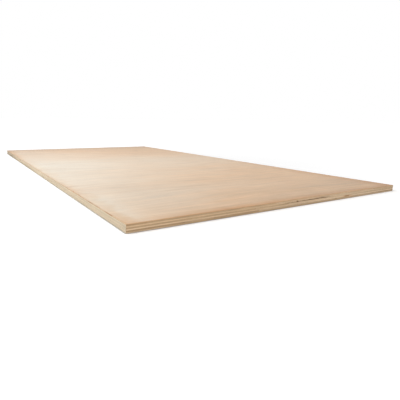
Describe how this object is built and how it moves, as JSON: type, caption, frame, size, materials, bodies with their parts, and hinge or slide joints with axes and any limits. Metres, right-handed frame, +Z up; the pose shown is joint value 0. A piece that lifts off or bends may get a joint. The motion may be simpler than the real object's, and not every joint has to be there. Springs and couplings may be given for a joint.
{
  "type": "plywood sheet",
  "caption": "Flat rectangular sheet of cross-banded plywood with a pale sanded face and its banded ply edges open to view.",
  "frame": {"origin": "centre of the underside", "axes": "+X along the length, +Y across the width in the direction of the face grain, +Z up out of the face veneer"},
  "size_m": [2.44, 1.22, 0.025],
  "materials": {
    "face_veneer": "sanded, soft satin sheen",
    "back_veneer": "sanded, matt",
    "core_ply": "sawn edge, matt",
    "crossband": "sawn edge, matt"
  },
  "bodies": {
    "root": {"back_veneer": "back_veneer", "crossband_lower": "crossband", "core_lower": "core_ply", "crossband_centre": "crossband", "core_upper": "core_ply", "crossband_upper": "crossband", "face_veneer": "face_veneer"}
  },
  "joints": []
}
